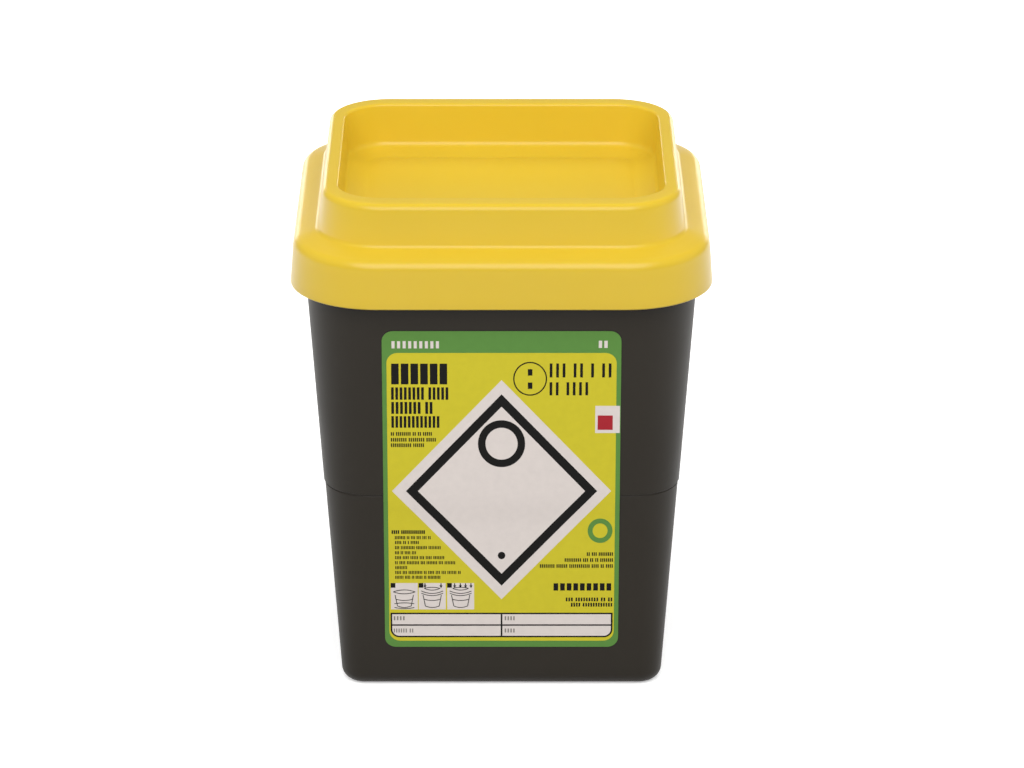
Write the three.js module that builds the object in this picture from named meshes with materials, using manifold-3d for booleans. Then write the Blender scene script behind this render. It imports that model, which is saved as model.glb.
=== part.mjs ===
// Square clinical waste container: a tapered tub, a push-on lid with a raised hollow ring, and a front label.
// Millimetres, +Z up, front towards -Y. The origin is the centre of the foot, on the surface it stands on.

import * as THREE from 'three';
import { mergeVertices } from 'three/addons/utils/BufferGeometryUtils.js';
import Module from 'manifold-3d';

const wasm = await Module();
wasm.setup();

// Half widths run from the axis to a flat side. Every plan section is a square with rounded corners.

// Tub
const tubHeight = 186.3;
const tubWall = 1.8;
const footHalf = 65.4;
const footCorner = 9.5;
const footRounding = 5.7;
const footRingWidth = 4.2;
const footRecess = 2.0;
const footRecessCorner = 3.0;
const floorThickness = 2.0;
const mouthHalf = 79.1;
const mouthCorner = 31.7;
const wallStepHeight = 86.5;
const wallStepDepth = 0.4;

// Rim flange and corner catches, moulded on the tub
const flangeReach = 1.3;
const flangeThickness = 1.6;
const flangeBelowRim = 1.8;
const catchReach = 1.2;
const catchHeight = 4.5;
const catchLand = 1.0;
const catchBelowFlange = 2.0;
const catchLength = 34;

// Lid
const lidWall = 1.6;
const skirtClearance = 0.7;
const skirtHeight = 18.6;
const skirtDraft = 1.4;
const skirtFlatExtra = 1.1;
const seatGap = 0.4;
const shoulderRounding = 4.6;
const shoulderRun = 9.7;
const shoulderRise = 3.6;
const ringFlatLoss = 2.0;
const ringHeight = 16.9;
const ringDraft = 2.1;
const ringBaseRounding = 2.3;
const rimWidth = 6.0;
const rimExtraDepth = 3.5;
const rimRounding = 3.0;
const rimInnerRounding = 1.2;
const recessDraft = 1.0;
const recessDepth = 17.6;
const dishWidth = 9.0;
const dishDepth = 2.6;
const dishCorner = 7.0;
const recessRounding = 3.0;

// Plug wall inside the tub's mouth, and the corner hooks inside the skirt
const plugClearance = 0.45;
const plugThickness = 1.4;
const plugDepth = 6.5;
const hookReach = 1.1;
const hookHeight = 2.6;
const hookLand = 0.8;
const hookRise = 1.6;

// Label
const labelWidth = 94.6;
const labelBottom = 18.0;
const labelHeight = 140.6;
const labelCorner = 4.4;
const labelThickness = 0.25;
const labelGap = 0.12;

const cornerSteps = 8;
const roundingSteps = 3;
const labelCornerSteps = 6;

// ---- Shared geometry ----

// Takes a point list of { half, z, flat, round } and turns each point that has a rounding into a short arc
// that touches both neighbouring lines. flat is half the length of the section's straight side. An optional
// shorter says how much less the section reaches to the front and back than to the sides.
function roundOutline(points) {
  const result = [];
  points.forEach((point, index) => {
    if (!point.round) {
      result.push(point);
      return;
    }
    const corner = new THREE.Vector2(point.half, point.z);
    const before = points[index - 1];
    const after = points[index + 1];
    const toBefore = new THREE.Vector2(before.half, before.z).sub(corner).normalize();
    const toAfter = new THREE.Vector2(after.half, after.z).sub(corner).normalize();
    const halfAngle = Math.acos(THREE.MathUtils.clamp(toBefore.dot(toAfter), -1, 1)) / 2;
    const bisector = toBefore.clone().add(toAfter).normalize();
    const centre = corner.clone().addScaledVector(bisector, point.round / Math.sin(halfAngle));
    const start = corner.clone().addScaledVector(toBefore, point.round / Math.tan(halfAngle)).sub(centre);
    const turn = Math.PI - 2 * halfAngle;
    const side = Math.sign(toBefore.cross(toAfter));
    for (let step = 0; step <= roundingSteps; step += 1) {
      const spoke = start.clone().rotateAround(new THREE.Vector2(), (side * -turn * step) / roundingSteps);
      result.push({ ...point, half: centre.x + spoke.x, z: centre.y + spoke.y });
    }
  });
  return result;
}

// A lathe whose rings are rounded squares. Going up the outside and down the inside faces outwards.
function squareLathe(outline) {
  const segments = 4 * (cornerSteps + 1);
  const profile = outline.map((point) => new THREE.Vector2(point.half, point.z));
  const lathe = new THREE.LatheGeometry(profile, segments);
  const position = lathe.getAttribute('position');
  for (let segment = 0; segment <= segments; segment += 1) {
    const onRing = segment % segments;
    const corner = Math.floor(onRing / (cornerSteps + 1));
    const angle = (Math.PI / 2) * (corner + (onRing % (cornerSteps + 1)) / cornerSteps);
    const signX = corner === 0 || corner === 3 ? 1 : -1;
    const signY = corner < 2 ? 1 : -1;
    outline.forEach((point, index) => {
      const flat = Math.min(point.flat, point.half);
      const radius = point.half - flat;
      position.setXYZ(
        segment * outline.length + index,
        signX * flat + radius * Math.cos(angle),
        signY * (flat - (point.shorter ?? 0)) + radius * Math.sin(angle),
        point.z,
      );
    });
  }
  return lathe;
}

// Merges shared vertices and drops the triangles that shrink to a line on the axis.
function solid(geometry) {
  geometry.deleteAttribute('normal');
  geometry.deleteAttribute('uv');
  const merged = mergeVertices(geometry, 1e-4);
  const index = merged.getIndex().array;
  const triangles = [];
  for (let i = 0; i < index.length; i += 3) {
    const [a, b, c] = [index[i], index[i + 1], index[i + 2]];
    if (a !== b && b !== c && c !== a) {
      triangles.push(a, b, c);
    }
  }
  return new wasm.Manifold(new wasm.Mesh({
    numProp: 3,
    vertProperties: new Float32Array(merged.getAttribute('position').array),
    triVerts: new Uint32Array(triangles),
  }));
}

function toGeometry(manifold) {
  const mesh = manifold.getMesh();
  const geometry = new THREE.BufferGeometry();
  geometry.setAttribute('position', new THREE.BufferAttribute(new Float32Array(mesh.vertProperties), 3));
  geometry.setIndex(new THREE.BufferAttribute(new Uint32Array(mesh.triVerts), 1));
  geometry.computeVertexNormals();
  return geometry;
}

function box(sizeX, sizeY, sizeZ, x, y, z, turn = 0) {
  const geometry = new THREE.BoxGeometry(sizeX, sizeY, sizeZ);
  geometry.rotateZ(turn);
  geometry.translate(x, y, z);
  return solid(geometry);
}

// Keeps the parts of a ring that lie within a given length of its four corners.
function onlyCorners(ring, length, reach, height) {
  let keep = null;
  for (let corner = 0; corner < 4; corner += 1) {
    const turn = Math.PI / 4 + (corner * Math.PI) / 2;
    const middle = reach / 2;
    const [x, y] = [middle * Math.cos(turn), middle * Math.sin(turn)];
    const block = box(reach, length, height * 2, x, y, height, turn);
    keep = keep ? keep.add(block) : block;
  }
  return ring.intersect(keep);
}

// ---- Tub ----

const footFlat = footHalf - footCorner;
const mouthFlat = mouthHalf - mouthCorner;
const wallTaper = (mouthHalf - wallStepDepth - footHalf) / (tubHeight - footRounding);

// Outer half width of the tub's wall at a height. The wall grows by the step above the step line.
function tubHalfAt(z) {
  const stepped = z > wallStepHeight ? wallStepDepth : 0;
  return footHalf + wallTaper * (z - footRounding) + stepped;
}

function tubFlatAt(z) {
  return footFlat + ((mouthFlat - footFlat) * z) / tubHeight;
}

function wallPoint(z, outwards, round = 0) {
  return { half: tubHalfAt(z) + outwards, z, flat: tubFlatAt(z), round };
}

function makeTub() {
  const insideFloor = footRecess + floorThickness;
  const footFlatHalf = footHalf - footRounding;
  const footRecessHalf = footFlatHalf - footRingWidth;
  const footRecessFlat = footRecessHalf - footRecessCorner;
  const flangeTop = tubHeight - flangeBelowRim;
  const flangeBottom = flangeTop - flangeThickness;
  const body = roundOutline([
    { half: 0, z: footRecess, flat: 0 },
    { half: footRecessHalf - footRecess, z: footRecess, flat: footRecessFlat - footRecess },
    { half: footRecessHalf, z: 0, flat: footRecessFlat },
    { half: footHalf - wallTaper * footRounding, z: 0, flat: footFlat, round: footRounding },
    wallPoint(wallStepHeight, 0),
    wallPoint(wallStepHeight + wallStepDepth, 0),
    wallPoint(flangeBottom - flangeReach / 2, 0),
    wallPoint(flangeBottom, flangeReach),
    wallPoint(flangeTop, flangeReach),
    wallPoint(flangeTop + flangeReach / 2, 0),
    wallPoint(tubHeight, 0, tubWall / 3),
    wallPoint(tubHeight, -tubWall, tubWall / 3),
    wallPoint(wallStepHeight + wallStepDepth, -tubWall),
    wallPoint(wallStepHeight, -tubWall),
    { ...wallPoint(insideFloor, -tubWall, footRounding - tubWall), flat: footFlat },
    { half: 0, z: insideFloor, flat: 0 },
  ]);

  // A catch is a wedge that grows upwards and ends in a flat top, a little below the flange.
  const catchTop = flangeBottom - flangeReach / 2 - catchBelowFlange;
  const catchBottom = catchTop - catchHeight;
  const catchRing = [
    wallPoint(catchBottom, -tubWall / 2),
    wallPoint(catchBottom, 0),
    wallPoint(catchTop - catchLand, catchReach),
    wallPoint(catchTop, catchReach),
    wallPoint(catchTop, -tubWall / 2),
    wallPoint(catchBottom, -tubWall / 2),
  ];
  const catches = onlyCorners(solid(squareLathe(catchRing)), catchLength, mouthHalf * 2, tubHeight);
  return solid(squareLathe(body)).add(catches);
}

// ---- Lid ----

const skirtTop = tubHeight + seatGap + lidWall;
const skirtBottom = skirtTop - skirtHeight;
const skirtTopHalf = mouthHalf + flangeReach + skirtClearance + lidWall;
const skirtBottomHalf = skirtTopHalf + skirtDraft;
const skirtFlat = mouthFlat + skirtFlatExtra;
const ringFlat = skirtFlat - ringFlatLoss;
const ringBase = skirtTop + shoulderRise;
const ringBaseHalf = skirtTopHalf - shoulderRun;
const ringTop = ringBase + ringHeight;
const ringTopHalf = ringBaseHalf - ringDraft;
const rimInnerHalf = ringTopHalf - rimWidth;
const recessHalf = rimInnerHalf - recessDraft;
const recessBottom = ringTop - recessDepth;
const dishHalf = recessHalf - dishWidth;
const trayFloor = recessBottom - dishDepth;

function skirtHalfAt(z) {
  return skirtTopHalf + (skirtDraft * (skirtTop - z)) / skirtHeight;
}

function makeLid() {
  const plugTopZ = tubHeight + seatGap;
  const plugBottomZ = tubHeight - plugDepth;
  const plugTopHalf = tubHalfAt(tubHeight) - tubWall - plugClearance;
  const plugBottomHalf = tubHalfAt(plugBottomZ) - tubWall - plugClearance;
  const underRounding = shoulderRounding - lidWall;
  const dishFlat = dishHalf - dishCorner;
  const shorter = rimExtraDepth;
  const body = roundOutline([
    { half: 0, z: trayFloor - lidWall, flat: 0 },
    { half: dishHalf, z: trayFloor - lidWall, flat: dishFlat, shorter },
    { half: recessHalf + lidWall, z: recessBottom - lidWall, flat: ringFlat, shorter },
    { half: rimInnerHalf + lidWall, z: ringTop - lidWall, flat: ringFlat, shorter },
    { half: ringTopHalf - lidWall, z: ringTop - lidWall, flat: ringFlat, round: rimRounding - lidWall },
    { half: ringBaseHalf - lidWall, z: ringBase - lidWall, flat: ringFlat },
    { half: plugTopHalf - plugThickness, z: plugTopZ, flat: mouthFlat },
    { half: plugBottomHalf - plugThickness, z: plugBottomZ, flat: mouthFlat },
    { half: plugBottomHalf, z: plugBottomZ, flat: mouthFlat },
    { half: plugTopHalf, z: plugTopZ, flat: mouthFlat },
    { half: skirtTopHalf - lidWall, z: skirtTop - lidWall, flat: skirtFlat, round: underRounding },
    { half: skirtBottomHalf - lidWall, z: skirtBottom, flat: skirtFlat },
    { half: skirtBottomHalf, z: skirtBottom, flat: skirtFlat },
    { half: skirtTopHalf, z: skirtTop, flat: skirtFlat, round: shoulderRounding },
    { half: ringBaseHalf, z: ringBase, flat: ringFlat, round: ringBaseRounding },
    { half: ringTopHalf, z: ringTop, flat: ringFlat, round: rimRounding },
    { half: rimInnerHalf, z: ringTop, flat: ringFlat, shorter, round: rimInnerRounding },
    { half: recessHalf, z: recessBottom, flat: ringFlat, shorter, round: recessRounding },
    { half: dishHalf, z: trayFloor, flat: dishFlat, shorter },
    { half: 0, z: trayFloor, flat: 0 },
  ]);

  // Hooks inside the skirt's corners pass under the tub's catches when the lid is pushed home.
  const hookBottom = skirtBottom + hookRise;
  const hookTop = hookBottom + hookHeight;
  const hookPoint = (z, inwards) => ({ half: skirtHalfAt(z) - inwards, z, flat: skirtFlat });
  const hookRing = [
    hookPoint(hookBottom, lidWall / 2),
    hookPoint(hookTop, lidWall / 2),
    hookPoint(hookTop, lidWall + hookReach),
    hookPoint(hookTop - hookLand, lidWall + hookReach),
    hookPoint(hookBottom, lidWall),
    hookPoint(hookBottom, lidWall / 2),
  ];
  const hooks = onlyCorners(solid(squareLathe(hookRing)), catchLength, skirtBottomHalf * 2, ringTop);
  return solid(squareLathe(body)).add(hooks);
}

// ---- Label ----

// A sheet of even thickness that follows the front wall over its step, cut to a rounded rectangle.
function makeLabel() {
  const outside = labelGap + labelThickness;
  const labelTop = labelBottom + labelHeight;
  const sheet = [
    wallPoint(labelBottom, labelGap),
    wallPoint(labelBottom, outside),
    wallPoint(wallStepHeight, outside),
    wallPoint(wallStepHeight + wallStepDepth, outside),
    wallPoint(labelTop, outside),
    wallPoint(labelTop, labelGap),
    wallPoint(wallStepHeight + wallStepDepth, labelGap),
    wallPoint(wallStepHeight, labelGap),
    wallPoint(labelBottom, labelGap),
  ];
  const halfWidth = labelWidth / 2;
  const shape = new THREE.Shape();
  shape.moveTo(labelCorner - halfWidth, labelBottom);
  shape.absarc(halfWidth - labelCorner, labelBottom + labelCorner, labelCorner, -Math.PI / 2, 0);
  shape.absarc(halfWidth - labelCorner, labelTop - labelCorner, labelCorner, 0, Math.PI / 2);
  shape.absarc(labelCorner - halfWidth, labelTop - labelCorner, labelCorner, Math.PI / 2, Math.PI);
  shape.absarc(labelCorner - halfWidth, labelBottom + labelCorner, labelCorner, Math.PI, Math.PI * 1.5);
  const block = new THREE.ExtrudeGeometry(shape, {
    depth: mouthHalf * 2,
    bevelEnabled: false,
    curveSegments: labelCornerSteps,
  });
  block.rotateX(Math.PI / 2);
  return solid(squareLathe(sheet)).intersect(solid(block));
}

// ---- Assembly ----

const darkPlastic = { color: 0x3e3b38, roughness: 0.5, metalness: 0 };
const yellowPlastic = { color: 0xf0c83c, roughness: 0.35, metalness: 0 };
const labelFilm = { color: 0xcfc232, roughness: 0.45, metalness: 0 };

function node(name, manifold, finish) {
  const mesh = new THREE.Mesh(toGeometry(manifold), new THREE.MeshStandardMaterial(finish));
  mesh.name = name;
  return mesh;
}

const group = new THREE.Group();
group.add(node('tub', makeTub(), darkPlastic));
group.add(node('lid', makeLid(), yellowPlastic));
group.add(node('front_label', makeLabel(), labelFilm));

export default group;
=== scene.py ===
# A square clinical waste container: a dark tapered tub, a yellow push-on lid and a printed label.
import math

import bpy
import numpy as np
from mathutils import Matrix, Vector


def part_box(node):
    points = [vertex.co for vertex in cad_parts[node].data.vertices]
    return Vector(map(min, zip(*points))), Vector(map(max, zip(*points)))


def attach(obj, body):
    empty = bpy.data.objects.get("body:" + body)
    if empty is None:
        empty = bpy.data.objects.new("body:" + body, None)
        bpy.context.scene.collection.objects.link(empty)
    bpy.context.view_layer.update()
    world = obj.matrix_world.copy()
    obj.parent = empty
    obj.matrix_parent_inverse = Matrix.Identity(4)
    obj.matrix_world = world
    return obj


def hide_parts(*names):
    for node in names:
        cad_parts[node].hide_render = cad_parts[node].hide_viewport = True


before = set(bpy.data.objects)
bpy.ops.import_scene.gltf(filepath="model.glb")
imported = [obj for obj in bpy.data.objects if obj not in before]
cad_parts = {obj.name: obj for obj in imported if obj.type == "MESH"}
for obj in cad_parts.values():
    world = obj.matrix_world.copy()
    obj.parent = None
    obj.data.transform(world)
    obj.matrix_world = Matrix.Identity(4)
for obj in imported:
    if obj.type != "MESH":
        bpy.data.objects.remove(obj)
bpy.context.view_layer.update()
mm = 0.001  # in metres
tubHigh = np.array(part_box("tub")[1]) / mm
lidLow, lidHigh = (np.array(corner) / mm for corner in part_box("lid"))
labelLow, labelHigh = (np.array(corner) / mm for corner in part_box("front_label"))
print("frame loaded")


# Sizes of the pieces are in millimetres, and their meshes are turned to metres here.
def putMesh(name, points, faces, sharpAngle=32):
    mesh = bpy.data.meshes.new(name)
    mesh.from_pydata((np.asarray(points) * mm).tolist(), [], faces)
    mesh.validate()
    mesh.shade_smooth()
    mesh.set_sharp_from_angle(angle=math.radians(sharpAngle))
    piece = bpy.data.objects.new(name, mesh)
    bpy.context.scene.collection.objects.link(piece)
    return piece


# An outline is a list of (half width, height, half length of the straight side, rounding). A fifth number
# says how much less the section reaches to the front and back than to the sides. A point with a rounding
# becomes an arc that touches both neighbouring lines, worked out as its centre plus a turned radius.
def roundOutline(points, steps=8):
    rows = []
    for i, point in enumerate(points):
        half, height, flat, rounding, shorter = (*point, 0)[:5]
        if not rounding:
            rows.append([[half, height, flat, shorter]])
            continue
        corner = np.array([half, height])
        before = np.array(points[i - 1][:2]) - corner
        after = np.array(points[i + 1][:2]) - corner
        before /= np.linalg.norm(before)
        after /= np.linalg.norm(after)
        halfAngle = math.acos(np.clip(before @ after, -1, 1)) / 2
        middle = (before + after) / np.linalg.norm(before + after)
        centre = corner + middle * rounding / math.sin(halfAngle)
        spoke = corner + before * rounding / math.tan(halfAngle) - centre
        side = np.sign(before[0] * after[1] - before[1] * after[0])
        turn = np.linspace(0, -side * (math.pi - 2 * halfAngle), steps + 1)
        across = centre[0] + spoke[0] * np.cos(turn) - spoke[1] * np.sin(turn)
        up = centre[1] + spoke[0] * np.sin(turn) + spoke[1] * np.cos(turn)
        rows.append(np.column_stack([across, up, np.tile([flat, shorter], (steps + 1, 1))]))
    return np.vstack(rows)


# Adds evenly spaced rows to every straight stretch that is longer than the given length.
def addRows(rows, longest):
    length = np.linalg.norm(np.diff(rows[:, :2], axis=0), axis=1)
    count = np.maximum(np.ceil(length / longest).astype(int), 1)
    start = np.repeat(np.arange(len(count)), count)
    within = np.arange(count.sum()) - np.repeat(np.cumsum(count) - count, count)
    place = np.append(start + within / count[start], len(count))
    return np.column_stack([np.interp(place, np.arange(len(rows)), column) for column in rows.T])


ringSteps = dict(corner=28, side=18)


# The columns of a rounded square: the sign of the corner centre slides along each side, and stands still
# while the angle turns through a corner. A point is sign x flat + radius x (cos, sin) of the angle.
def ringColumns():
    signs = np.array([[1, 1], [-1, 1], [-1, -1], [1, -1]], float)
    turn = np.linspace(0, math.pi / 2, ringSteps["corner"] + 1)
    slide = np.arange(1, ringSteps["side"])[:, None] / ringSteps["side"]
    angles = []
    places = []
    for corner in range(4):
        here = signs[corner]
        there = signs[(corner + 1) % 4]
        angles.append(turn + corner * math.pi / 2)
        places.append(np.tile(here, (len(turn), 1)))
        angles.append(np.full(len(slide), (corner + 1) * math.pi / 2))
        places.append(here + (there - here) * slide)
    return np.vstack(places), np.concatenate(angles)


# A shell whose sections are rounded squares, with rows up the outside and down the inside, closed at both
# poles. swell(rows, angle) gives an amount, row by column, that is added to the corner radius.
def squareShell(name, rows, swell=None):
    place, angle = ringColumns()
    inner = rows[1:-1]
    half, height, flat, shorter = inner.T[:, :, None]
    flat = np.minimum(flat, half)
    radius = half - flat
    if swell is not None:
        radius = radius + swell(inner, angle)
    x = place[:, 0] * flat + radius * np.cos(angle)
    y = place[:, 1] * (flat - shorter) + radius * np.sin(angle)
    z = np.broadcast_to(height, x.shape)
    grid = np.stack([x, y, z], axis=-1).reshape(-1, 3)
    poles = np.array([[0, 0, rows[0, 1]], [0, 0, rows[-1, 1]]])
    rowCount, columnCount = x.shape
    index = np.arange(rowCount * columnCount).reshape(rowCount, columnCount)
    after = np.roll(index, -1, axis=1)
    quads = np.stack([index[:-1], after[:-1], after[1:], index[1:]], axis=-1).reshape(-1, 4)
    first = len(grid)
    startFan = np.stack([np.full(columnCount, first), after[0], index[0]], axis=-1)
    endFan = np.stack([np.full(columnCount, first + 1), index[-1], after[-1]], axis=-1)
    faces = quads.tolist() + startFan.tolist() + endFan.tolist()
    return putMesh(name, np.vstack([grid, poles]), faces)


# A wedge falls back to the wall within this height above its top, and within this share of a corner's
# half turn.
wedge = dict(drop=0.2, fade=0.06)


# A wedge at each corner: reach x a ramp that rises with height x a window that fades out along the wall.
def cornerWedge(height, angle, low, high, land, reach, share):
    rise = np.interp(height, [low, high - land, high, high + wedge["drop"]], [0, 1, 1, 0])
    fromMiddle = np.abs(np.mod(angle, math.pi / 2) - math.pi / 4) / (math.pi / 4)
    window = np.interp(fromMiddle, [share, share + wedge["fade"]], [1, 0])
    return reach * rise[:, None] * window[None, :]


# An sRGB hex colour as a linear one.
def linear(hexColour):
    channels = [int(hexColour[i:i + 2], 16) / 255 for i in (1, 3, 5)]
    return [c / 12.92 if c <= 0.04045 else ((c + 0.055) / 1.055) ** 2.4 for c in channels] + [1.0]


def addNode(tree, kind, values=None, links=None, **settings):
    node = tree.nodes.new(kind)
    for name, value in settings.items():
        setattr(node, name, value)
    for socket, value in (values or {}).items():
        node.inputs[socket].default_value = value
    for socket, source in (links or {}).items():
        tree.links.new(source, node.inputs[socket])
    return node


def newMaterial(name, values):
    material = bpy.data.materials.new(name)
    material.use_nodes = True
    tree = material.node_tree
    tree.nodes.clear()
    shader = addNode(tree, "ShaderNodeBsdfPrincipled", values)
    addNode(tree, "ShaderNodeOutputMaterial", links={"Surface": shader.outputs["BSDF"]})
    place = addNode(tree, "ShaderNodeTexCoord").outputs["Object"]
    return material, tree, shader, place


# Injection-moulded polypropylene. The mould's fine spark-eroded grain is a bump, slow waves in the wall
# bend the reflections a little, and slightly uneven pigment and polish shift the colour and the gloss.
def mouldedPolypropylene(name, look):
    material, tree, shader, place = newMaterial(name, {
        "IOR": 1.49,
        "Specular IOR Level": look["sheen"],
        "Subsurface Weight": look["glow"],
        "Subsurface Radius": (0.004, 0.0025, 0.0006),
        "Subsurface Scale": 1.0,
    })
    pigment = addNode(tree, "ShaderNodeTexNoise", {
        "Scale": 1 / (look["pigmentSize"] * mm),
        "Detail": 4.0,
    }, {"Vector": place}).outputs["Fac"]
    colour = addNode(tree, "ShaderNodeMix", {"A": linear(look["dark"]), "B": linear(look["light"])},
                     {"Factor": pigment}, data_type="RGBA")
    tree.links.new(colour.outputs["Result"], shader.inputs["Base Color"])
    polish = addNode(tree, "ShaderNodeTexNoise", {
        "Scale": 1 / (look["polishSize"] * mm),
        "Detail": 6.0,
    }, {"Vector": place}).outputs["Fac"]
    smooth, rough = look["roughness"]
    gloss = addNode(tree, "ShaderNodeMapRange", {"To Min": smooth, "To Max": rough}, {"Value": polish})
    tree.links.new(gloss.outputs["Result"], shader.inputs["Roughness"])
    wave = addNode(tree, "ShaderNodeTexNoise", {
        "Scale": 1 / (look["waveSize"] * mm),
        "Detail": 1.0,
    }, {"Vector": place}).outputs["Fac"]
    waveBump = addNode(tree, "ShaderNodeBump", {"Distance": look["waveDepth"] * mm}, {"Height": wave})
    grain = addNode(tree, "ShaderNodeTexNoise", {
        "Scale": 1 / (look["grainSize"] * mm),
        "Detail": 2.0,
    }, {"Vector": place}).outputs["Fac"]
    grainBump = addNode(tree, "ShaderNodeBump", {"Distance": look["grainDepth"] * mm},
                        {"Height": grain, "Normal": waveBump.outputs["Normal"]})
    tree.links.new(grainBump.outputs["Normal"], shader.inputs["Normal"])
    return material


filmLook = dict(roughness=0.42, mottleSize=3.0, darkest=0.94, lightest=1.05, peelSize=1.6, peelDepth=0.02)


# Ink under a clear laminate on vinyl film: satin, very slightly mottled, with the laminate's faint
# orange peel.
def printedFilm(name, ink, sheen=0.22):
    material, tree, shader, place = newMaterial(name, {
        "IOR": 1.5,
        "Specular IOR Level": sheen,
        "Roughness": filmLook["roughness"],
    })
    mottle = addNode(tree, "ShaderNodeTexNoise", {
        "Scale": 1 / (filmLook["mottleSize"] * mm),
        "Detail": 5.0,
    }, {"Vector": place})
    amount = addNode(tree, "ShaderNodeMapRange", {
        "To Min": filmLook["darkest"],
        "To Max": filmLook["lightest"],
    }, {"Value": mottle.outputs["Fac"]})
    colour = addNode(tree, "ShaderNodeHueSaturation", {"Color": linear(ink)},
                     {"Value": amount.outputs["Result"]})
    tree.links.new(colour.outputs["Color"], shader.inputs["Base Color"])
    peel = addNode(tree, "ShaderNodeTexNoise", {
        "Scale": 1 / (filmLook["peelSize"] * mm),
        "Detail": 1.0,
    }, {"Vector": place})
    bump = addNode(tree, "ShaderNodeBump", {"Distance": filmLook["peelDepth"] * mm},
                   {"Height": peel.outputs["Fac"]})
    tree.links.new(bump.outputs["Normal"], shader.inputs["Normal"])
    return material


# Tub: one grey-black polypropylene moulding.

tub = dict(
    footHalf=65.4, footCorner=9.5, footRounding=5.7,
    footRingWidth=4.2, footRingEdge=0.4, recess=2.0, recessCorner=3.0, recessRounding=0.8, floor=2.0,
    gateHalf=3.0, gateDepth=0.4,  # a shallow dimple under the floor, where the plastic came in
    mouthCorner=31.7, wall=1.8, edge=0.5,
    stepHeight=86.5, stepDepth=0.4, stepRise=0.2, stepEdge=0.15,
    grooveDepth=0.2, grooveWidth=0.6, grooveSlope=0.25, grooveEdge=0.1,
    flangeReach=1.3, flangeThickness=1.6, flangeBelowRim=1.8, flangeRoot=0.4, flangeEdge=0.3,
    catchReach=1.2, catchHeight=4.5, catchLand=1.0, catchBelowFlange=2.0, catchShare=0.62,
    rowLength=6.0,
    look=dict(
        dark="#221e18", light="#28231c", glow=0.0, sheen=0.185, roughness=(0.42, 0.52),
        pigmentSize=60, polishSize=25, waveSize=90, waveDepth=0.25, grainSize=0.7, grainDepth=0.012,
    ),
)
tubTop = tubHigh[2]
flangeTop = tubTop - tub["flangeBelowRim"]
flangeBottom = flangeTop - tub["flangeThickness"]
flangeWallHalf = tubHigh[0] - tub["flangeReach"]
wallTaper = (flangeWallHalf - tub["stepDepth"] - tub["footHalf"]) / (flangeTop - tub["footRounding"])
mouthHalf = flangeWallHalf + wallTaper * tub["flangeBelowRim"]


# Outer half width of the wall: foot half width + taper x height, and the step more above the step line.
def tubHalfAt(z):
    stepped = np.where(z > tub["stepHeight"], tub["stepDepth"], 0)
    return tub["footHalf"] + wallTaper * (z - tub["footRounding"]) + stepped


# Half length of the wall's straight side. It changes evenly with height, from the foot to the mouth.
def tubFlatAt(z):
    footFlat = tub["footHalf"] - tub["footCorner"]
    mouthFlat = mouthHalf - tub["mouthCorner"]
    return footFlat + (mouthFlat - footFlat) * z / tubTop


# A point of the tub's outline on the outside of the wall, or a distance off it.
def wallPoint(z, outwards=0.0, rounding=0.0):
    return (float(tubHalfAt(z)) + outwards, z, tubFlatAt(z), rounding)


def makeTub():
    insideFloor = tub["recess"] + tub["floor"]
    recessHalf = tub["footHalf"] - tub["footRounding"] - tub["footRingWidth"]
    recessFlat = recessHalf - tub["recessCorner"]
    footFlat = tub["footHalf"] - tub["footCorner"]
    catchTop = flangeBottom - tub["flangeReach"] / 2 - tub["catchBelowFlange"]
    catchBottom = catchTop - tub["catchHeight"]
    groove = tub["stepHeight"] - tub["grooveWidth"]
    outline = [
        (0, tub["recess"] + tub["gateDepth"], 0, 0),
        (tub["gateHalf"] - tub["gateDepth"], tub["recess"] + tub["gateDepth"], 0, 0),
        (tub["gateHalf"], tub["recess"], 0, 0),
        (recessHalf - tub["recess"], tub["recess"], recessFlat - tub["recess"], tub["recessRounding"]),
        (recessHalf, 0, recessFlat, tub["footRingEdge"]),
        (tub["footHalf"] - wallTaper * tub["footRounding"], 0, footFlat, tub["footRounding"]),
        wallPoint(groove - tub["grooveSlope"]),
        wallPoint(groove, -tub["grooveDepth"], tub["grooveEdge"]),
        wallPoint(tub["stepHeight"], -tub["grooveDepth"], tub["grooveEdge"]),
        wallPoint(tub["stepHeight"] + tub["stepRise"], 0, tub["stepEdge"]),
        wallPoint(catchBottom),
        wallPoint(catchTop - tub["catchLand"]),
        wallPoint(catchTop),
        wallPoint(catchTop + wedge["drop"]),
        wallPoint(flangeBottom - tub["flangeReach"] / 2, 0, tub["flangeRoot"]),
        wallPoint(flangeBottom, tub["flangeReach"], tub["flangeEdge"]),
        wallPoint(flangeTop, tub["flangeReach"], tub["edge"]),
        wallPoint(flangeTop + tub["flangeReach"] / 2, 0, tub["flangeEdge"]),
        wallPoint(tubTop, 0, tub["edge"]),
        wallPoint(tubTop, -tub["wall"], tub["edge"]),
        wallPoint(tub["stepHeight"] + tub["stepDepth"], -tub["wall"]),
        wallPoint(tub["stepHeight"], -tub["wall"]),
        (*wallPoint(insideFloor, -tub["wall"])[:2], footFlat, tub["footRounding"] - tub["wall"]),
        (0, insideFloor, 0, 0),
    ]
    rows = addRows(roundOutline(outline), tub["rowLength"])

    def catches(inner, angle):
        onOutside = inner[:, 0] > tubHalfAt(inner[:, 1]) - tub["wall"] / 2
        height = np.where(onOutside, inner[:, 1], 0)
        return cornerWedge(
            height, angle, catchBottom, catchTop, tub["catchLand"], tub["catchReach"], tub["catchShare"])

    piece = squareShell("tub_shell", rows, catches)
    piece.data.materials.append(mouldedPolypropylene("greyBlackPolypropyleneSatinMoulded", tub["look"]))
    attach(piece, "base")
    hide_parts("tub")


makeTub()
print("tub made")


# Lid: one yellow polypropylene moulding.

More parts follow.
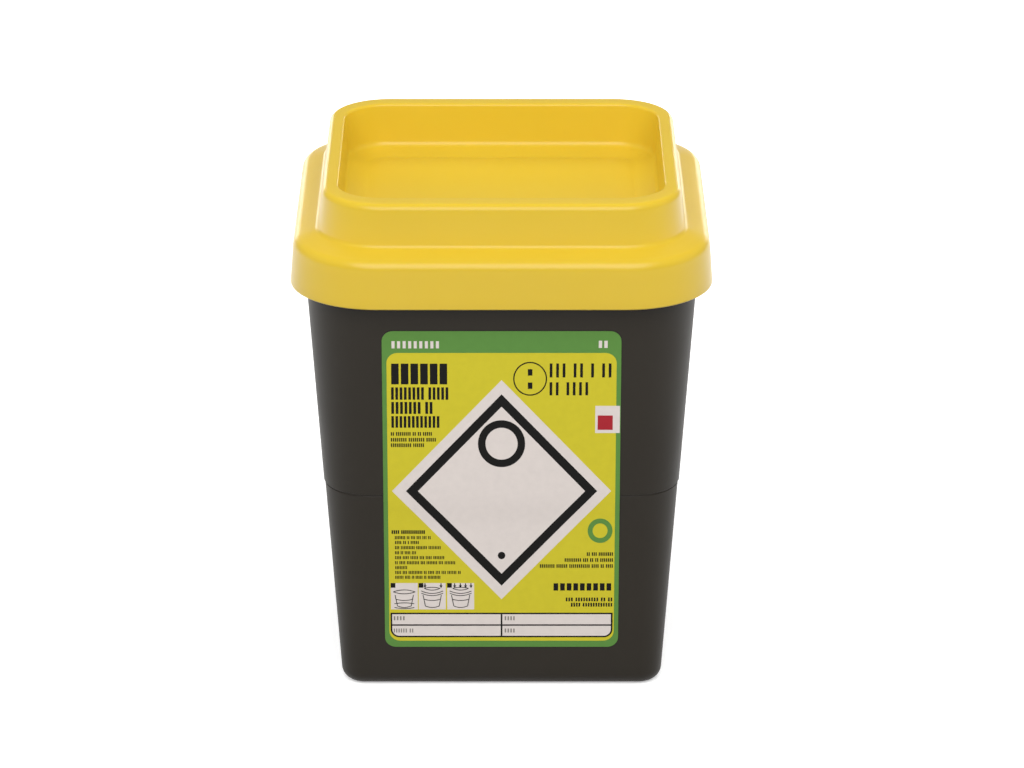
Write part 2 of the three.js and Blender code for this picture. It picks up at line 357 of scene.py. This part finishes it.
lid = dict(
    wall=1.6, skirtHeight=18.6, skirtDraft=1.4, skirtCorner=35.6, skirtEdge=0.6,
    shoulderRounding=4.6, shoulderRun=9.7, shoulderRise=3.6,
    ringFlatLoss=2.0, ringDraft=2.1, ringBaseRounding=2.3,
    rimWidth=6.0, rimExtraDepth=3.5, rimRounding=3.0, rimInnerRounding=1.2,
    recessDraft=1.0, recessDepth=17.6, recessRounding=3.0,
    dishWidth=9.0, dishDepth=2.6, dishCorner=7.0, dishRounding=9.0,
    plugClearance=0.45, plugThickness=1.4, plugDepth=6.5, seatGap=0.4,
    hookReach=1.1, hookHeight=2.6, hookRise=1.6, hookLand=0.8, hookShare=0.55,
    rowLength=4.0,
    # Roundings of the corners underneath.
    under=dict(
        recess=1.2, rim=0.4, ringBase=1.0, skirt=0.4,
        plugRoot=0.4, plugShoulder=0.3, plugInnerEdge=0.3, plugOuterEdge=0.6,
    ),
    look=dict(
        dark="#d3b22c", light="#dab934", glow=0.1, sheen=0.36, roughness=(0.27, 0.34),
        pigmentSize=70, polishSize=20, waveSize=70, waveDepth=0.2, grainSize=0.9, grainDepth=0.01,
    ),
)


def makeLid():
    under = lid["under"]
    wall = lid["wall"]
    skirtBottom = lidLow[2]
    ringTop = lidHigh[2]
    skirtTop = skirtBottom + lid["skirtHeight"]
    skirtBottomHalf = lidHigh[0]
    skirtTopHalf = skirtBottomHalf - lid["skirtDraft"]
    skirtFlat = skirtBottomHalf - lid["skirtCorner"]
    ringFlat = skirtFlat - lid["ringFlatLoss"]
    ringBase = skirtTop + lid["shoulderRise"]
    ringBaseHalf = skirtTopHalf - lid["shoulderRun"]
    ringTopHalf = ringBaseHalf - lid["ringDraft"]
    rimInnerHalf = ringTopHalf - lid["rimWidth"]
    recessHalf = rimInnerHalf - lid["recessDraft"]
    recessBottom = ringTop - lid["recessDepth"]
    dishHalf = recessHalf - lid["dishWidth"]
    dishFlat = dishHalf - lid["dishCorner"]
    shorter = lid["rimExtraDepth"]
    trayFloor = recessBottom - lid["dishDepth"]
    plugTop = tubTop + lid["seatGap"]
    plugBottom = tubTop - lid["plugDepth"]
    plugFlat = mouthHalf - tub["mouthCorner"]
    plugTopHalf = float(tubHalfAt(tubTop)) - tub["wall"] - lid["plugClearance"]
    plugBottomHalf = float(tubHalfAt(plugBottom)) - tub["wall"] - lid["plugClearance"]
    hookBottom = skirtBottom + lid["hookRise"]
    hookTop = hookBottom + lid["hookHeight"]

    def skirtInside(z):
        outside = skirtTopHalf + lid["skirtDraft"] * (skirtTop - z) / lid["skirtHeight"]
        return (outside - wall, z, skirtFlat, 0)

    outline = [
        (0, trayFloor - wall, 0, 0),
        (dishHalf, trayFloor - wall, dishFlat, lid["dishRounding"], shorter),
        (recessHalf + wall, recessBottom - wall, ringFlat, under["recess"], shorter),
        (rimInnerHalf + wall, ringTop - wall, ringFlat, under["rim"], shorter),
        (ringTopHalf - wall, ringTop - wall, ringFlat, lid["rimRounding"] - wall),
        (ringBaseHalf - wall, ringBase - wall, ringFlat, under["ringBase"]),
        (plugTopHalf - lid["plugThickness"], plugTop, plugFlat, under["plugRoot"]),
        (plugBottomHalf - lid["plugThickness"], plugBottom, plugFlat, under["plugInnerEdge"]),
        (plugBottomHalf, plugBottom, plugFlat, under["plugOuterEdge"]),
        (plugTopHalf, plugTop, plugFlat, under["plugShoulder"]),
        (skirtTopHalf - wall, skirtTop - wall, skirtFlat, lid["shoulderRounding"] - wall),
        skirtInside(hookTop + wedge["drop"]),
        skirtInside(hookTop),
        skirtInside(hookTop - lid["hookLand"]),
        skirtInside(hookBottom),
        (skirtBottomHalf - wall, skirtBottom, skirtFlat, under["skirt"]),
        (skirtBottomHalf, skirtBottom, skirtFlat, lid["skirtEdge"]),
        (skirtTopHalf, skirtTop, skirtFlat, lid["shoulderRounding"]),
        (ringBaseHalf, ringBase, ringFlat, lid["ringBaseRounding"]),
        (ringTopHalf, ringTop, ringFlat, lid["rimRounding"]),
        (rimInnerHalf, ringTop, ringFlat, lid["rimInnerRounding"], shorter),
        (recessHalf, recessBottom, ringFlat, lid["recessRounding"], shorter),
        (dishHalf, trayFloor, dishFlat, lid["dishRounding"], shorter),
        (0, trayFloor, 0, 0),
    ]
    rows = addRows(roundOutline(outline), lid["rowLength"])

    def hooks(inner, angle):
        insideSkirt = np.abs(inner[:, 0] - skirtInside(inner[:, 1])[0]) < wall / 4
        height = np.where(insideSkirt, inner[:, 1], 0)
        return -cornerWedge(
            height, angle, hookBottom, hookTop, lid["hookLand"], lid["hookReach"], lid["hookShare"])

    piece = squareShell("lid_shell", rows, hooks)
    piece.data.materials.append(mouldedPolypropylene("yellowPolypropyleneGlossMoulded", lid["look"]))
    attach(piece, "lid")
    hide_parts("lid")


makeLid()
print("lid made")


# Label: a film on the front wall, and inks laid on it in thin layers.

label = dict(
    filmLift=0.08, filmThickness=0.12, inkThickness=0.025, layerGap=0.004, corner=4.4,
    tall=1.1,  # how much taller than wide a printed circle is
    margin=0.3,  # kept free of print at the film's edge
    rampLength=14.0, rampSteps=8, arcSteps=8, circleSteps=48, diamondRows=13,
)


# The film bridges the fine step in the wall: a smooth ramp below the step line, then the upper wall.
def filmHalfAt(z):
    ramp = np.clip((z - tub["stepHeight"] + label["rampLength"]) / label["rampLength"], 0, 1)
    smooth = ramp * ramp * (3 - 2 * ramp)
    return tub["footHalf"] + wallTaper * (z - tub["footRounding"]) + tub["stepDepth"] * smooth


# A printed shape is a strip between a left and a right edge line, each a list of (x, z) in the direction
# of travel, and a closed strip joins its ends. It is laid on the wall with a front, a back and a thin rim.
def strip(left, right, closed=False):
    return np.asarray(left, float), np.asarray(right, float), closed


def layStrips(name, strips, material, lift, thickness):
    points = []
    faces = []
    start = 0
    for left, right, closed in strips:
        count = len(left)
        flat = np.vstack([left, right])
        front = np.column_stack([flat[:, 0], -filmHalfAt(flat[:, 1]) - lift - thickness, flat[:, 1]])
        back = front + [0, thickness, 0]
        points.append(np.vstack([front, back]))
        i = np.arange(count if closed else count - 1)
        j = (i + 1) % count
        a, b, c, d = (start + k * count for k in range(4))
        ring = [
            np.stack([a + i, b + i, b + j, a + j], axis=-1),
            np.stack([c + i, c + j, d + j, d + i], axis=-1),
            np.stack([a + i, a + j, c + j, c + i], axis=-1),
            np.stack([b + i, d + i, d + j, b + j], axis=-1),
        ]
        if not closed:
            last = count - 1
            ring.append(np.array([[a, c, d, b], [a + last, b + last, d + last, c + last]]))
        faces += np.vstack(ring).tolist()
        start += 4 * count
    piece = putMesh(name, np.vstack(points), faces)
    piece.data.materials.append(material)
    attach(piece, "base")
    return piece


# Rows for a tall shape: its own heights, and a few more where the film ramps over the step.
def tallRows(heights):
    step = tub["stepHeight"]
    ramp = step - label["rampLength"] * np.linspace(0, 1, label["rampSteps"] + 1)
    low, high = min(heights), max(heights)
    return np.unique(np.concatenate([heights, ramp[(ramp > low) & (ramp < high)]]))


# A panel with rounded corners: at a distance into a corner, each edge moves in by
# corner - sqrt(corner^2 - distance^2).
def roundedPanel(x0, x1, z0, z1, corner, roundTop=True):
    turn = np.linspace(0, math.pi / 2, label["arcSteps"] + 1)
    lowArc = z0 + corner * (1 - np.cos(turn))
    highArc = z1 - corner * (1 - np.cos(turn)) if roundTop else np.array([z1])
    z = tallRows(np.concatenate([lowArc, highArc]))
    fromLow = np.clip(corner - (z - z0), 0, corner)
    fromHigh = np.clip(corner - (z1 - z), 0, corner) * roundTop
    inset = corner - np.sqrt(corner ** 2 - np.maximum(fromLow, fromHigh) ** 2)
    return strip(np.column_stack([x0 + inset, z]), np.column_stack([x1 - inset, z]))


# A diamond: at each height its half is half width x (1 - distance from the middle / half height).
def diamond(z, halfWidth, halfHeight):
    tip = 0.05  # half the width of each blunted point
    rows = tallRows(np.linspace(z - halfHeight, z + halfHeight, label["diamondRows"]))
    width = halfWidth * (1 - np.abs(rows - z) / halfHeight) + tip
    return strip(np.column_stack([-width, rows]), np.column_stack([width, rows]))


def bar(x0, x1, z0, z1):
    return strip([(x0, z0), (x0, z1)], [(x1, z0), (x1, z1)])


# A ring of travel round an ellipse, with the inner edge on the left.
def ringMark(x, z, outer, inner):
    turn = np.linspace(0, 2 * math.pi, label["circleSteps"], endpoint=False)
    spoke = np.column_stack([np.cos(turn), np.sin(turn) * label["tall"]])
    return strip([x, z] + spoke * inner, [x, z] + spoke * outer, closed=True)


# A line of even width along a path: each point goes half the width to both sides, square to the path.
def line(path, width):
    path = np.asarray(path, float)
    along = np.gradient(path, axis=0)
    along /= np.linalg.norm(along, axis=1)[:, None]
    leftward = np.column_stack([-along[:, 1], along[:, 0]]) * width / 2
    return strip(path + leftward, path - leftward)


wordGap = 0.7  # between two words, in block spacings


# A word-like row of plain blocks: each number is a word's count of blocks, and no block is a letter.
def wordRow(x0, x1, z0, z1, words, fill):
    unit = (x1 - x0) / (sum(words) + wordGap * (len(words) - 1))
    blocks = []
    x = x0
    for word in words:
        for _ in range(word):
            blocks.append(bar(x + unit * (1 - fill) / 2, x + unit * (1 + fill) / 2, z0, z1))
            x += unit
        x += wordGap * unit
    return blocks


def wordRows(rows):
    return [block for row in rows for block in wordRow(*row)]


# Panels, frames and bars are x from and to, then z from and to. Diamonds are half width and half height.
# Rings and dots are x, z, outer radius and inner radius.
panel = (-45.5, 45.5, 20.8, 149.2)
table = dict(frame=(-45.0, 45.0, 22.4, 33.6), splitZ=28.0, rule=0.68, corner=3.6)
diamondPrint = dict(z=88.6, pale=(43.8, 48.8), black=(38.2, 42.6), inner=(33.4, 37.2))
symbols = dict(
    tab=(37.2, labelHigh[0] - label["margin"], 114.3, 126.2),
    redSquare=(38.2, 44.2, 115.7, 122.0),
    greenRing=(39.6, 70.7, 5.0, 3.0),
    testRing=(11.3, 138.0, 6.7, 6.2),
    testBars=((10.4, 12.2, 139.4, 142.2), (10.4, 12.2, 133.6, 136.4)),
    hazardRing=(0, 109.6, 9.4, 6.4),
    classDot=(0, 59.6, 1.5, 0.02),
)

# Rows of blocks are x from and to, z from and to, the words, and how much of its spacing a block fills.
headerRows = [
    (-43.9, -24.2, 151.2, 154.3, (9,), 0.55),
    (37.9, 42.3, 151.4, 154.5, (2,), 0.6),
]
heavyRows = [
    (-44.1, -21.1, 135.6, 144.6, (6,), 0.78),
    (-44.1, -20.8, 128.9, 134.3, (8, 5), 0.62),
    (-44.1, -27.1, 122.7, 127.9, (7, 2), 0.62),
    (-44.1, -24.4, 116.6, 121.7, (12,), 0.62),
]
lightRows = [
    (18.3, 44.2, 138.6, 144.7, (3, 2, 1, 2), 0.42),
    (18.3, 35.0, 130.8, 136.5, (2, 4), 0.42),
    (-44.2, -27.6, 113.1, 114.7, (2, 8, 2, 2, 5), 0.62),
    (-44.2, -26.0, 110.5, 112.1, (8, 8, 5), 0.62),
    (-44.2, -30.8, 108.1, 109.7, (11, 6), 0.62),
    (34.2, 45.0, 59.4, 61.0, (2, 3, 8), 0.62),
    (25.3, 45.0, 56.7, 58.3, (9, 3, 2, 2, 7), 0.62),
    (15.3, 45.0, 54.0, 55.6, (8, 6, 11, 4, 2, 4), 0.62),
    (25.8, 45.0, 38.8, 40.5, (3, 9, 2, 2), 0.62),
    (27.9, 45.0, 36.4, 38.1, (4, 12), 0.62),
    (-44.3, -30.7, 69.3, 70.9, (4, 12), 0.7),
]
makerRow = [(20.6, 44.7, 43.7, 47.0, (9,), 0.7)]
# These rows are lower z, x to and the words. The rest is the same for all.
stepRows = [
    (66.9, -28.4, (7, 2, 3, 3, 3, 2)), (64.7, -33.2, (4, 2, 1, 5)), (62.4, -24.4, (3, 9, 7, 8)),
    (60.1, -34.4, (3, 2, 4, 3)), (57.9, -23.0, (4, 4, 5, 3, 4, 7)), (55.6, -18.6, (2, 4, 8, 3, 7, 3, 7)),
    (53.4, -38.0, (8,)), (51.2, -16.4, (4, 3, 9, 2, 4, 3, 3, 6, 2)), (49.0, -24.6, (6, 4, 2, 5, 2, 9)),
]
stepText = dict(x0=-43.0, height=1.4, fill=0.62)
hintRows = [
    (-44.0, -39.0, 30.2, 32.0, (4,), 0.5), (1.0, 5.6, 30.2, 32.0, (4,), 0.5),
    (-44.0, -35.6, 24.6, 26.4, (6, 2), 0.5), (1.0, 5.6, 24.6, 26.4, (4,), 0.5),
]


# Three small drawings of a tub and its lid. Widths in them are from the middle line, and heights from the
# picture's foot. Curves are half width, height of the ends, and sag.
pictures = dict(
    x0=(-44.8, -33.5, -22.0), width=10.9, z0=35.1, height=12.0, numberWidth=1.9, numberHeight=2.09,
    stroke=0.32, curveSteps=8, wallTop=(3.7, 6.6), wallFoot=(2.8, 1.6),
    tub=((3.2, 4.6, 0.5), (2.8, 1.6, 0.7)),
    lidBelow=((4.4, 8.0, 0.9), (4.4, 8.0, -0.9), (4.0, 0.9, 0.5), (4.0, 2.6, -0.4)),
    lidAbove=((4.4, 7.4, 1.1), (4.4, 8.4, 1.1), (3.2, 9.6, 0.8), (3.2, 9.6, -0.5)),
    arrows=((), (-2.9, 3.6), (-2.4, -0.1, 2.0, 4.2)), arrowTip=9.7,
    arrowLength=2.2, arrowStem=0.22, arrowHead=0.62, arrowPoint=0.02,
)


# A small arrow that points down: a triangular head and a stem.
def downArrow(x, tip):
    stem = pictures["arrowStem"]
    head = pictures["arrowHead"]
    point = pictures["arrowPoint"]
    neck = tip + 2 * head
    return [
        strip([(x - point, tip), (x - head, neck)], [(x + point, tip), (x + head, neck)]),
        bar(x - stem, x + stem, neck, tip + pictures["arrowLength"]),
    ]


# The line drawing in one picture: two sides, and curves that sag by a parabola, z = end - sag x (1 - t^2).
def pictureLines(x0, z0, number):
    middle = x0 + pictures["width"] / 2
    stroke = pictures["stroke"]
    topHalf, top = pictures["wallTop"]
    footHalf, foot = pictures["wallFoot"]
    lines = []
    for side in (-1, 1):
        path = [(middle + side * topHalf, z0 + top), (middle + side * footHalf, z0 + foot)]
        lines.append(line(path, stroke))
    along = np.linspace(-1, 1, pictures["curveSteps"] + 1)
    for half, height, sag in pictures["tub"] + pictures["lidAbove" if number else "lidBelow"]:
        path = np.column_stack([middle + half * along, z0 + height - sag * (1 - along ** 2)])
        lines.append(line(path, stroke))
    for x in pictures["arrows"][number]:
        lines += downArrow(middle + x, z0 + pictures["arrowTip"])
    return lines


def makeLabel():
    green = printedFilm("vinylFilmGreenInk", "#5a8a3e")
    yellow = printedFilm("vinylFilmYellowInk", "#d4c72e")
    pale = printedFilm("vinylFilmPaleInk", "#e6dcd6")
    black = printedFilm("vinylFilmBlackInk", "#080706", sheen=0.11)
    red = printedFilm("vinylFilmRedInk", "#a8202c")
    grey = printedFilm("vinylFilmGreyInk", "#8d8781")

    sheet = roundedPanel(labelLow[0], labelHigh[0], labelLow[2], labelHigh[2], label["corner"])
    film = layStrips("label_film", [sheet], green, label["filmLift"], label["filmThickness"])
    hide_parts("front_label")
    surface = label["filmLift"] + label["filmThickness"]

    # A print of one ink. Level 0 lies just off the film, and each level just off the one below.
    def ink(name, strips, material, level):
        lift = surface + label["layerGap"] + level * (label["inkThickness"] + label["layerGap"])
        layStrips(name, strips, material, lift, label["inkThickness"])

    x0, x1, z0, z1 = panel
    ink("label_yellow_panel", [roundedPanel(x0, x1, z0, z1, label["corner"])], yellow, 0)
    ink("label_header_marks", wordRows(headerRows), pale, 0)

    pictureLow = pictures["z0"]
    pictureHigh = pictureLow + pictures["height"]
    boxes = [bar(x, x + pictures["width"], pictureLow, pictureHigh) for x in pictures["x0"]]
    paleAreas = [diamond(diamondPrint["z"], *diamondPrint["pale"]), bar(*symbols["tab"])]
    ink("label_pale_areas", paleAreas + boxes, pale, 1)
    ink("label_green_mark", [ringMark(*symbols["greenRing"])], green, 1)
    marks = wordRows(heavyRows + lightRows + makerRow)
    for z, right, words in stepRows:
        marks += wordRow(stepText["x0"], right, z, z + stepText["height"], words, stepText["fill"])
    marks.append(ringMark(*symbols["testRing"]))
    marks += [bar(*corners) for corners in symbols["testBars"]]
    ink("label_black_print", marks, black, 1)

    x0, x1, z0, z1 = table["frame"]
    rule = table["rule"]
    corner = table["corner"]
    split = table["splitZ"]
    middle = (x0 + x1) / 2
    outside = roundedPanel(x0, x1, z0, z1, corner, roundTop=False)
    ink("label_black_areas", [diamond(diamondPrint["z"], *diamondPrint["black"]), outside], black, 2)
    ink("label_red_mark", [bar(*symbols["redSquare"])], red, 2)
    drawings = []
    numberLow = pictureHigh - pictures["numberHeight"]
    for number, x in enumerate(pictures["x0"]):
        drawings.append(bar(x, x + pictures["numberWidth"], numberLow, pictureHigh))
        drawings += pictureLines(x, pictureLow, number)
    ink("label_pictures", drawings, black, 2)

    # The table's cells, laid on its black area so that the rules show between them.
    lower = roundedPanel(x0 + rule, x1 - rule, z0 + rule, split - rule / 2, corner - rule, roundTop=False)
    upper = [bar(left, right, split + rule / 2, z1 - rule)
             for left, right in ((x0 + rule, middle - rule / 2), (middle + rule / 2, x1 - rule))]
    inner = diamond(diamondPrint["z"], *diamondPrint["inner"])
    ink("label_inner_areas", [inner, lower] + upper, pale, 3)
    ink("label_table_hints", wordRows(hintRows), grey, 4)
    innerMarks = [
        ringMark(*symbols["hazardRing"]),
        bar(middle - rule / 2, middle + rule / 2, z0 + rule, split),
        ringMark(*symbols["classDot"]),
    ]
    ink("label_inner_marks", innerMarks, black, 4)


makeLabel()
print("label made")


# Studio: a large soft light high in front, weak fills at the sides and above the back, and two small ones
# low behind that edge the lid. The fills leave no mirror image on the container. The floor glows more
# away from it, and the surround looks white but lights the container less. Distances are in metres.
studio = dict(
    floorSize=24.0, floorDark="#fafaf9", floorLight="#fdfdfd", floorGlow=(0.35, 1.2), glowReach=(0.4, 1.2),
    floorBounce=False, skyLight=0.3, skySeen=1.2,
)
lights = dict(
    front=dict(width=2.2, height=1.6, place=(0.0, -1.45, 1.6), aimHeight=0.15, watts=46.0, mirrored=True),
    back=dict(width=1.6, height=0.8, place=(0.0, 1.3, 1.6), aimHeight=0.15, watts=12.0, mirrored=False),
    left=dict(width=1.2, height=1.0, place=(-1.5, 0.1, 0.7), aimHeight=0.15, watts=8.0, mirrored=False),
    right=dict(width=1.2, height=1.0, place=(1.5, 0.1, 0.7), aimHeight=0.15, watts=8.0, mirrored=False),
    rearLeft=dict(width=0.4, height=0.2, place=(-0.58, 1.5, 0.26), aimHeight=0.19, watts=1.3,
                  mirrored=True),
    rearRight=dict(width=0.4, height=0.2, place=(0.58, 1.5, 0.26), aimHeight=0.19, watts=1.3,
                   mirrored=True),
)


def makeFloor():
    half = studio["floorSize"] / 2 / mm
    floor = putMesh("floor", [(-half, -half, 0), (half, -half, 0), (half, half, 0), (-half, half, 0)],
                    [(0, 1, 2, 3)])
    material, tree, shader, place = newMaterial("paintedStudioFloor", {
        "Roughness": 0.75,
        "Emission Color": (1, 1, 1, 1),
    })
    away = addNode(tree, "ShaderNodeVectorMath", links={0: place}, operation="LENGTH")
    near, far = studio["glowReach"]
    weak, strong = studio["floorGlow"]
    glow = addNode(tree, "ShaderNodeMapRange", {
        "From Min": near, "From Max": far, "To Min": weak, "To Max": strong,
    }, {"Value": away.outputs["Value"]})
    tree.links.new(glow.outputs["Result"], shader.inputs["Emission Strength"])
    mottle = addNode(tree, "ShaderNodeTexNoise", {"Scale": 3.0, "Detail": 2.0}, {"Vector": place})
    colour = addNode(tree, "ShaderNodeMix", {
        "A": linear(studio["floorDark"]),
        "B": linear(studio["floorLight"]),
    }, {"Factor": mottle.outputs["Fac"]}, data_type="RGBA")
    tree.links.new(colour.outputs["Result"], shader.inputs["Base Color"])
    floor.data.materials.append(material)
    floor.visible_diffuse = studio["floorBounce"]


# The surround has one strength for the camera and another for everything that it lights.
def makeSky():
    world = bpy.data.worlds.new("studio")
    world.use_nodes = True
    sky = world.node_tree
    seen = addNode(sky, "ShaderNodeLightPath").outputs["Is Camera Ray"]
    strength = addNode(sky, "ShaderNodeMapRange", {
        "To Min": studio["skyLight"], "To Max": studio["skySeen"],
    }, {"Value": seen})
    background = sky.nodes["Background"]
    background.inputs["Color"].default_value = (1, 1, 1, 1)
    sky.links.new(strength.outputs["Result"], background.inputs["Strength"])
    bpy.context.scene.world = world


# Each light is turned from its place to a point above the middle of the floor.
def makeLights():
    for name, setup in lights.items():
        light = bpy.data.lights.new(name, "AREA")
        light.shape = "RECTANGLE"
        light.size = setup["width"]
        light.size_y = setup["height"]
        light.energy = setup["watts"]
        lamp = bpy.data.objects.new(name, light)
        lamp.location = setup["place"]
        towards = np.array([0.0, 0.0, setup["aimHeight"]]) - np.array(setup["place"])
        tilt = math.atan2(math.hypot(towards[0], towards[1]), -towards[2])
        lamp.rotation_euler = (tilt, 0, math.atan2(-towards[0], towards[1]))
        lamp.visible_camera = False
        lamp.visible_glossy = setup["mirrored"]
        bpy.context.scene.collection.objects.link(lamp)


# Camera: straight in front, looking down at the container. The angle is in degrees, distances are in
# metres, and the lens and sensor are in millimetres.
view = dict(pitch=20.8, distance=1.8148, height=0.7964, focal=165.2, sensorWidth=36, sideShift=0.0102)


def makeCamera():
    data = bpy.data.cameras.new("camera")
    data.sensor_width = view["sensorWidth"]
    data.lens = view["focal"]
    data.shift_x = view["sideShift"]
    camera = bpy.data.objects.new("camera", data)
    camera.location = (0, -view["distance"], view["height"])
    camera.rotation_euler = (math.radians(90 - view["pitch"]), 0, 0)
    bpy.context.scene.collection.objects.link(camera)
    bpy.context.scene.camera = camera


makeFloor()
makeSky()
makeLights()
makeCamera()
bpy.context.scene.view_settings.view_transform = "Standard"
print("studio made")
